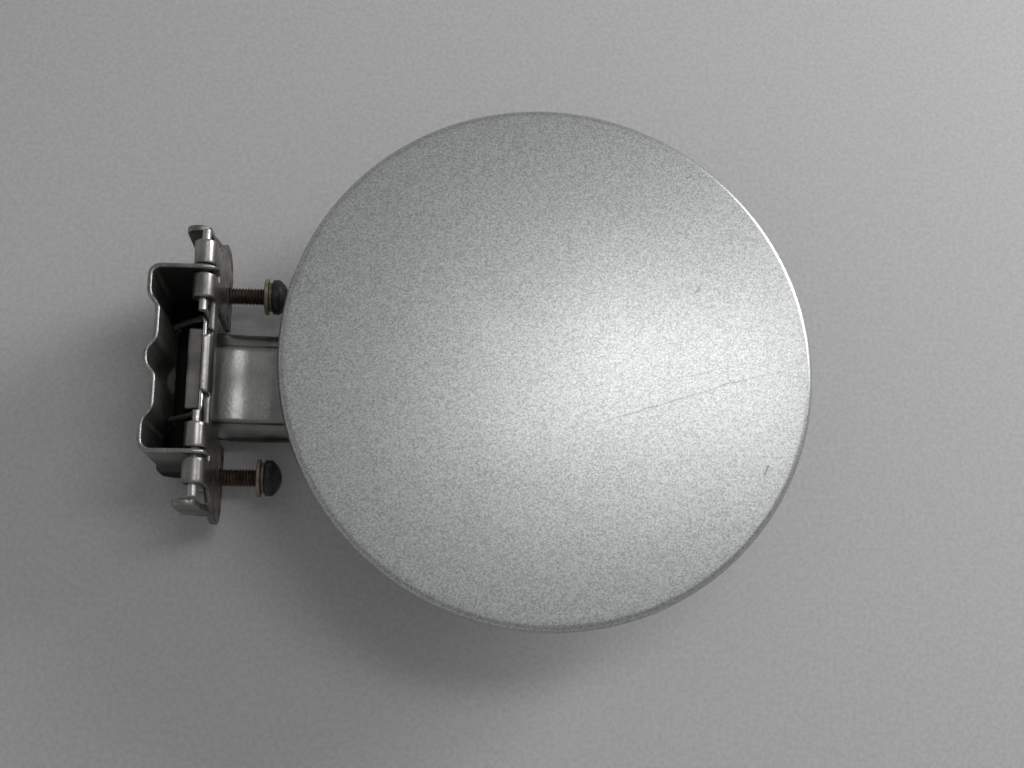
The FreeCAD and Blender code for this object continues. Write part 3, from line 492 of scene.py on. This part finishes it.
# %% Door skin
CROWN_STEPS = 40
DOOR_TURNS = 256
RIM_START_DEG = 88.5
crown_r = DOOR_R - RIM_ROUND
crown_line = [(crown_r * k / CROWN_STEPS, FACE_Z + CROWN * (1 - (k / CROWN_STEPS) ** 2))
              for k in range(CROWN_STEPS)]
inside_r = DOOR_R - SKIN_GAUGE
profile = list(crown_line)
profile += arc((crown_r, FACE_Z - RIM_ROUND), RIM_ROUND, RIM_START_DEG, 0, 12)
profile += arc((DOOR_R - SKIN_GAUGE, HEM_Z + SKIN_GAUGE), SKIN_GAUGE, 0, -90, 6)
profile += arc((DOOR_R - HEM_WIDTH + SKIN_GAUGE / 2, HEM_Z + SKIN_GAUGE / 2), SKIN_GAUGE / 2, 270, 90, 6)
profile += [(inside_r - SKIN_GAUGE, HEM_Z + SKIN_GAUGE), (inside_r, HEM_Z + 2 * SKIN_GAUGE)]
profile += arc((crown_r, FACE_Z - RIM_ROUND), RIM_ROUND - SKIN_GAUGE, 0, RIM_START_DEG, 6)
profile += [(radius, height - SKIN_GAUGE) for radius, height in reversed(crown_line)]
builder = bmesh.new()
add_turned(builder, profile, DOOR_SPOT, (0, 0, 1), DOOR_TURNS)
make_piece("door_skin_rolled", mesh_from(builder, "door_skin_rolled"), "door",
           [door_paint], "door_skin", corner_deg=50)

# %% [markdown]
# Behind the skin sits the inner panel, a shallow dish that the hem grips. It is turned on the same
# axis, with a small radius at each bend as a press would leave it.

# %% Inner panel
PANEL_GAUGE = 0.8 * MM
PANEL_TURNS = 160
BEND = 2.0 * MM
low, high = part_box("inner_panel")
panel_r = (high.x - low.x) / 2
dish_z = low.z
seat_z = high.z - PANEL_GAUGE
dish_r = 59.0 * MM
slope_r = 64.0 * MM
panel_line = [(0.0, dish_z), (dish_r * 0.5, dish_z), (dish_r - BEND, dish_z),
              (dish_r + 0.3 * BEND, dish_z + 0.2 * BEND), (slope_r - 0.3 * BEND, seat_z - 0.2 * BEND),
              (slope_r + BEND, seat_z), (panel_r, seat_z)]
profile = panel_line + [(radius, height + PANEL_GAUGE) for radius, height in reversed(panel_line)]
builder = bmesh.new()
add_turned(builder, profile, DOOR_SPOT, (0, 0, 1), PANEL_TURNS)
make_piece("inner_panel_pressed", mesh_from(builder, "inner_panel_pressed"), "door",
           [inner_paint], "inner_panel", corner_deg=50)


# %% [markdown]
# Pressed sheet has no sharp corner anywhere: bends are round and cut edges are dulled by tumbling
# and paint. Each solid is copied, rebuilt as an even skin of small faces and relaxed a little, which
# rounds every edge by about half a millimetre and keeps the flats flat.

# %% Pressed copies of the solids
def with_modifier(mesh, kind, **settings):
    """The mesh as a modifier leaves it."""
    draft = bpy.data.objects.new("draft", mesh)
    bpy.context.scene.collection.objects.link(draft)
    modifier = draft.modifiers.new("change", kind)
    for key, setting in settings.items():
        setattr(modifier, key, setting)
    view = bpy.context.evaluated_depsgraph_get()
    changed = bpy.data.meshes.new_from_object(draft.evaluated_get(view))
    bpy.data.objects.remove(draft)
    return changed


def pressed_copy(name, node, body, finish, grid, relax, press=None):
    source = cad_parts[node].data.copy()
    source.materials.clear()
    mesh = with_modifier(source, "REMESH", mode="VOXEL", voxel_size=grid)
    if press:
        for vertex in mesh.vertices:
            vertex.co = press(vertex.co)
    mesh = with_modifier(mesh, "SMOOTH", factor=0.5, iterations=relax)
    mesh.name = name
    return make_piece(name, mesh, body, [finish], node, corner_deg=180)


# %% [markdown]
# The arm's web waves in and out without a corner, and its neck falls away in a slight arch between
# two beads. The solid has the same forms with straight flanks, so the copy is pressed a little
# further: a smooth wave takes the place of the straight one, the neck sinks along an arch with one
# soft fold, which catches the light, and the beads become round.

# %% Press the arm
PIN_X = -3.45 * MM
PIN_Z = 32.0 * MM
PAD_DEPTH = 2.9 * MM
PAD_EDGES = (2.1 * MM, 5.5 * MM, 16.3 * MM, 19.7 * MM)
WAVE_SPREAD = 2.6 * MM
WAVE_SAMPLES = 9
WEB_EDGE = -10.5 * MM
WEB_LOW = -31.0 * MM
WEB_FULL = -27.0 * MM
NECK_START = -7.0 * MM
NECK_LOW = -40.0 * MM
NECK_FULL = -34.0 * MM
NECK_HIGH = -14.0 * MM
NECK_HALF = 30.0 * MM
ARCH_TOP = 2.0 * MM
ARCH_LEFT_R = 14.0 * MM
NECK_SLOPE = 0.05
FOLD_DEPTH = 0.24 * MM
FOLD_AT = 8.0 * MM
FOLD_WIDTH = 2.2 * MM
SLOPE_END = 20.0 * MM
RISER_MEET = 33.0 * MM
BEAD_INNER = 13.0 * MM
BEAD_MIDDLE = 14.4 * MM
BEAD_HALF = 3.8 * MM
BEAD_ROUND = 1.3 * MM


def share(value, start, end):
    return min(1.0, max(0.0, (value - start) / (end - start)))


def straight_wave(y):
    y = abs(y)
    return PAD_DEPTH * (share(y, *PAD_EDGES[:2]) - share(y, *PAD_EDGES[2:]))


def smooth_wave(y):
    steps = [WAVE_SPREAD * (2 * k / (WAVE_SAMPLES - 1) - 1) for k in range(WAVE_SAMPLES)]
    weights = [1 + math.cos(math.pi * step / WAVE_SPREAD) for step in steps]
    return sum(w * straight_wave(y + step) for w, step in zip(weights, steps)) / sum(weights)


def neck_sink(across):
    """How far the neck's arch lies below the solid's straight neck."""
    if across < ARCH_TOP:
        return (ARCH_TOP - across) ** 2 / (2 * ARCH_LEFT_R)
    fold = FOLD_DEPTH * (1 + math.erf((across - FOLD_AT) / FOLD_WIDTH))
    back = 1 - share(across, SLOPE_END, RISER_MEET)
    return (NECK_SLOPE * (across - ARCH_TOP) + fold) * back * back * (3 - 2 * back)


def press_arm(spot):
    across, up = spot.x - PIN_X, spot.z - PIN_Z
    if across < WEB_EDGE and up > WEB_LOW:
        spot.x += (smooth_wave(spot.y) - straight_wave(spot.y)) * share(up, WEB_LOW, WEB_FULL)
    if NECK_START < across < RISER_MEET and NECK_LOW < up < NECK_HIGH and abs(spot.y) < NECK_HALF:
        spot.z -= neck_sink(across) * share(up, NECK_LOW, NECK_FULL)
        if across > ARCH_TOP and abs(spot.y) > BEAD_INNER:
            along = share(across, ARCH_TOP, 3 * ARCH_TOP) * (1 - share(across, SLOPE_END, RISER_MEET))
            spot.z -= BEAD_ROUND * ((abs(spot.y) - BEAD_MIDDLE) / BEAD_HALF) ** 2 * along
    return spot


# Piece, node, body, slot, finish, grid in millimetres, rounds of relaxing, and how it is pressed.
PRESSED = [
    ("hinge_arm_pressed", "hinge_arm", "door", "arm_paint", arm_paint, 0.5, 9, press_arm),
    ("hinge_bracket_pressed", "hinge_bracket", "bracket", "bracket_steel", bracket_plate, 0.36, 5, None),
    ("latch_striker_pressed", "latch_striker", "door", "striker_steel", striker_plate, 0.35, 4, None),
    ("weld_nuts_pressed", "weld_nuts", "bracket", "nut_steel", nut_steel, 0.3, 4, None),
    ("hinge_pins_cut", "hinge_pins", "bracket", "pin_steel", pin_steel, 0.2, 3, None),
    ("spring_wire_drawn", "spring_wire", "bracket", "wire_steel", bright_wire, 0.22, 3, None),
]
for name, node, body, slot, finish, grid, relax, press in PRESSED:
    pressed_copy(name, node, body, finish, grid * MM, relax, press)


# %% [markdown]
# The screws are the smallest clue to the size of the door. Their thread is a helix: the radius
# rises and falls along the axis, shifted by one pitch for each turn round it, so a grid over length
# and angle carries it with no extra tools.

# %% Screws with a real thread
PITCH = 1.0 * MM
THREAD_DEPTH = 0.55 * MM
THREAD_TURNS = 48
STEPS_PER_PITCH = 10
FLANK_SHARPNESS = 1.25
POINT_TAPER = 0.9 * MM
ROUND_TURNS = 64


def add_thread(builder, spot, along, length, outer_r):
    along = Vector(along)
    side = along.orthogonal().normalized()
    other = along.cross(side)
    steps = int(length / PITCH * STEPS_PER_PITCH)
    rings = []
    for step in range(steps + 1):
        reach = length * step / steps
        taper = max(0.0, 1.0 - reach / PITCH) * POINT_TAPER
        ring = []
        for k in range(THREAD_TURNS):
            way = k / THREAD_TURNS
            phase = (reach / PITCH - way) % 1.0
            flank = min(1.0, abs(2 * phase - 1) * FLANK_SHARPNESS)
            radius = outer_r - THREAD_DEPTH * flank - taper
            angle = 2 * math.pi * way
            ring.append(builder.verts.new(
                Vector(spot) + along * reach + (side * math.cos(angle) + other * math.sin(angle)) * radius))
        rings.append(ring)
    for near, far in zip(rings, rings[1:]):
        for k in range(THREAD_TURNS):
            after = (k + 1) % THREAD_TURNS
            builder.faces.new((near[k], near[after], far[after], far[k])).material_index = 0
    builder.faces.new(rings[0])
    builder.faces.new(rings[-1])


HEAD_R = 5.9 * MM
HEAD_HEIGHT = 5.4 * MM
HEAD_SIDE = 2.2 * MM
HEAD_ROUND = 0.5 * MM
low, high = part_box("mounting_screws")
head_x = high.x - HEAD_HEIGHT
thread_r = 2.95 * MM
SCREW_Y = high.y - HEAD_R
dome = HEAD_HEIGHT - HEAD_SIDE
dome_r = (HEAD_R ** 2 + dome ** 2) / (2 * dome)
dome_edge = math.degrees(math.acos(HEAD_R / dome_r))
head_line = [(0.0, 0.0), (HEAD_R - HEAD_ROUND, 0.0)]
head_line += arc((HEAD_R - HEAD_ROUND, HEAD_ROUND), HEAD_ROUND, -90, 0, 4)
head_line += arc((0.0, HEAD_HEIGHT - dome_r), dome_r, dome_edge, 90, 14)[:-1] + [(0.0, HEAD_HEIGHT)]
builder = bmesh.new()
for sign in (1, -1):
    foot = (low.x, sign * SCREW_Y, 0.0)
    add_thread(builder, foot, (1, 0, 0), head_x - low.x + HEAD_ROUND, thread_r)
    add_turned(builder, head_line, (head_x, sign * SCREW_Y, 0.0), (1, 0, 0), ROUND_TURNS, finish=1)
make_piece("mounting_screws_cut", mesh_from(builder, "mounting_screws_cut"), "bracket",
           [thread_rust, black_head], "mounting_screws", corner_deg=40)

# %% [markdown]
# Under each head lie two washers. The flat one is stamped, so one rim is round and the other has a
# small burr. The lock washer is a split ring whose ends stand a little apart.

# %% Flat washers
low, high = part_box("flat_washers")
washer_r = high.y - SCREW_Y
bore_r = 3.0 * MM
edge = 0.45 * MM
thick = high.x - low.x
washer_line = arc((washer_r - edge, edge), edge, -90, 0, 5)
washer_line += [(washer_r, thick - edge / 2), (washer_r - edge / 2, thick)]
washer_line += [(bore_r + edge / 2, thick), (bore_r, thick - edge / 2)]
washer_line += [(bore_r, edge / 2), (bore_r + edge / 2, 0.0)]
builder = bmesh.new()
for sign in (1, -1):
    add_turned(builder, washer_line, (low.x, sign * SCREW_Y, 0.0), (1, 0, 0), ROUND_TURNS, closed=True)
make_piece("flat_washers_stamped", mesh_from(builder, "flat_washers_stamped"), "bracket",
           [washer_zinc], "flat_washers", corner_deg=40)

# %% Split lock washers
low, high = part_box("lock_washers")
ring_r = high.y - SCREW_Y
tall = high.x - low.x
RING_STEPS = 72
SPLIT_DEG = 12.0
SPLIT_AT_DEG = 250.0
LIFT = 0.16 * MM
corner = 0.2 * MM
section = [(bore_r + corner, 0), (ring_r - corner, 0), (ring_r, corner), (ring_r, tall - LIFT - corner),
           (ring_r - corner, tall - LIFT), (bore_r + corner, tall - LIFT), (bore_r, tall - LIFT - corner),
           (bore_r, corner)]
builder = bmesh.new()
for sign in (1, -1):
    rows = []
    for step in range(RING_STEPS + 1):
        way = step / RING_STEPS
        angle = math.radians(SPLIT_AT_DEG + SPLIT_DEG / 2 + (360 - SPLIT_DEG) * way)
        out, over = math.cos(angle), math.sin(angle)
        rows.append([
            builder.verts.new((low.x + height + LIFT * way, sign * SCREW_Y + radius * out, radius * over))
            for radius, height in section])
    count = len(section)
    for near, far in zip(rows, rows[1:]):
        for k in range(count):
            builder.faces.new((near[k], near[(k + 1) % count], far[(k + 1) % count], far[k]))
    builder.faces.new(rows[0])
    builder.faces.new(rows[-1])
make_piece("lock_washers_split", mesh_from(builder, "lock_washers_split"), "bracket",
           [lock_steel], "lock_washers", corner_deg=40)

# %% [markdown]
# The arm's foot is spot welded to the inner panel. Each weld leaves a shallow round dent with a
# raised ring; a row of turned rings under the foot shows it from behind.

# %% Spot welds under the foot
WELD_R = 2.6 * MM
WELD_RISE = 0.25 * MM
WELD_TURNS = 32
WELD_ROWS = (58.0 * MM, 72.0 * MM, 86.0 * MM)
WELD_SIDE = 9.0 * MM
ARM_GAUGE = 1.6 * MM
foot_z = dish_z - ARM_GAUGE
weld_line = [(0.0, 0.02 * MM), (WELD_R * 0.55, 0.05 * MM), (WELD_R * 0.8, WELD_RISE), (WELD_R, -0.05 * MM)]
builder = bmesh.new()
for x in WELD_ROWS:
    for y in (-WELD_SIDE, WELD_SIDE):
        add_turned(builder, weld_line, (x, y, foot_z), (0, 0, -1), WELD_TURNS)
make_piece("foot_spot_welds", mesh_from(builder, "foot_spot_welds"), "door", [arm_paint])

# %% [markdown]
# The floor is a plain pale sheet under the lowest point. A faint noise keeps it from looking
# like paper, and the shadow shows how high the door stands. Far out, where the lamps don't reach, it
# turns into the same pale grey as the room behind it, so that low views have no dark horizon.

# %% Floor
PALE = (0.45, 0.447, 0.447, 1.0)
FADE_START = 0.3
FADE_END = 0.95


def seen_rays(tree):
    """One for rays that show the background: straight to the viewer, mirrored or let through."""
    paths = add(tree, "ShaderNodeLightPath")
    mirrored = maths(tree, "MAXIMUM", paths.outputs["Is Glossy Ray"], paths.outputs["Is Transmission Ray"])
    return maths(tree, "MAXIMUM", paths.outputs["Is Camera Ray"], mirrored)


FLOOR_SIZE = 8.0
FLOOR_MIDDLE = 0.08
FLOOR_GAP = 0.6 * MM
floor_z = cad_box[0][2] - FLOOR_GAP
builder = bmesh.new()
bmesh.ops.create_grid(builder, x_segments=1, y_segments=1, size=FLOOR_SIZE)
bmesh.ops.translate(builder, verts=builder.verts, vec=(FLOOR_MIDDLE, 0.0, floor_z))
floor_mesh = mesh_from(builder, "floor")
floor = bpy.data.objects.new("floor", floor_mesh)
bpy.context.scene.collection.objects.link(floor)
pale = bpy.data.materials.new("pale_floor")
pale.use_nodes = True
pale_tree = pale.node_tree
pale_shader = pale_tree.nodes["Principled BSDF"]
pale_shader.inputs["Roughness"].default_value = 0.85
speckle = placed(pale_tree, cloud, Scale=700.0, Detail=3.0)["Value"]
pale_tree.links.new(mixed(pale_tree, speckle, (0.46, 0.455, 0.455, 1.0), (0.53, 0.524, 0.524, 1.0)),
                    pale_shader.inputs["Base Color"])
where = add(pale_tree, "ShaderNodeTexCoord")
away = add(pale_tree, "ShaderNodeVectorMath", [
    (where.outputs["Object"], 0), ((FLOOR_MIDDLE, 0.0, floor_z), 1)], operation="DISTANCE")
far = maths(pale_tree, "MULTIPLY", ramp(pale_tree, away.outputs["Value"], FADE_START, FADE_END),
            seen_rays(pale_tree))
glow = add(pale_tree, "ShaderNodeEmission", [(PALE, "Color")])
blend = add(pale_tree, "ShaderNodeMixShader", [
    (far, 0), (pale_shader.outputs[0], 1), (glow.outputs[0], 2)])
pale_tree.links.new(blend.outputs[0], pale_tree.nodes["Material Output"].inputs["Surface"])
floor_mesh.materials.append(pale)
print("floor at %.4f m" % floor_z)

# %% [markdown]
# One long soft lamp hangs overhead, a little to the right and beyond the door, and lays a band of
# light across it. A grey world lifts the shadows; it is brightest overhead and dim towards the
# viewer, as a room with its lamps on the ceiling is. The level is plain.

# %% Lamps and world
AIM = Vector((0.08, 0.0, 0.03))


def soft_lamp(name, place, width, depth, power):
    data = bpy.data.lights.new(name, "AREA")
    data.shape = "RECTANGLE"
    data.size = width
    data.size_y = depth
    data.energy = power
    lamp = bpy.data.objects.new(name, data)
    lamp.location = place
    away = (Vector(place) - AIM).normalized()
    side = (Vector((1, 0, 0)) - away * away.x).normalized()
    turn = Matrix((side, away.cross(side), away)).transposed()
    lamp.rotation_euler = turn.to_euler()
    bpy.context.scene.collection.objects.link(lamp)
    print("lamp", name, power, "W")


soft_lamp("ceiling_lamp", (0.33, 0.175, 0.80), 0.44, 0.16, 1.15)
soft_lamp("side_lamp", (0.85, 0.45, 0.42), 0.4, 0.4, 5.6)
world = bpy.data.worlds.new("grey_room")
world.use_nodes = True
backdrop = world.node_tree.nodes["Background"]
sky = world.node_tree
heading = add(sky, "ShaderNodeTexCoord")
axes = add(sky, "ShaderNodeSeparateXYZ", [(heading.outputs["Generated"], 0)])
lifted = maths(sky, "MULTIPLY_ADD", axes.outputs["Y"], 0.45, axes.outputs["Z"])
room = mixed(sky, ramp(sky, lifted, -0.1, 1.0), (0.22, 0.22, 0.22, 1.0), (0.31, 0.314, 0.314, 1.0))
horizon = maths(sky, "MULTIPLY", ramp(sky, axes.outputs["Z"], 0.5, 0.1), seen_rays(sky))
sky.links.new(mixed(sky, horizon, room, PALE), backdrop.inputs["Color"])
backdrop.inputs["Strength"].default_value = 1.0
bpy.context.scene.world = world
bpy.context.scene.view_settings.view_transform = "Standard"

# %% [markdown]
# The camera looks down, a few degrees off the vertical, as in the picture that the door was
# measured from. Its axes come from that measurement, so they are given as a matrix.

# %% Camera
CAMERA_SPOT = (0.0553, -0.0965, 0.3939)
camera_data = bpy.data.cameras.new("camera")
camera_data.sensor_width = 36.0
camera_data.lens = 42.2
camera_data.clip_start = 0.01
camera = bpy.data.objects.new("camera", camera_data)
bpy.context.scene.collection.objects.link(camera)
right = Vector((0.995, -0.006, 0.101)).normalized()
back = Vector((-0.099, -0.242, 0.965)).normalized()
up = back.cross(right).normalized()
right = up.cross(back)
turn = Matrix((right, up, back)).transposed().to_4x4()
camera.matrix_world = Matrix.Translation(CAMERA_SPOT) @ turn
bpy.context.scene.camera = camera
print("camera lens %.1f mm" % camera_data.lens)
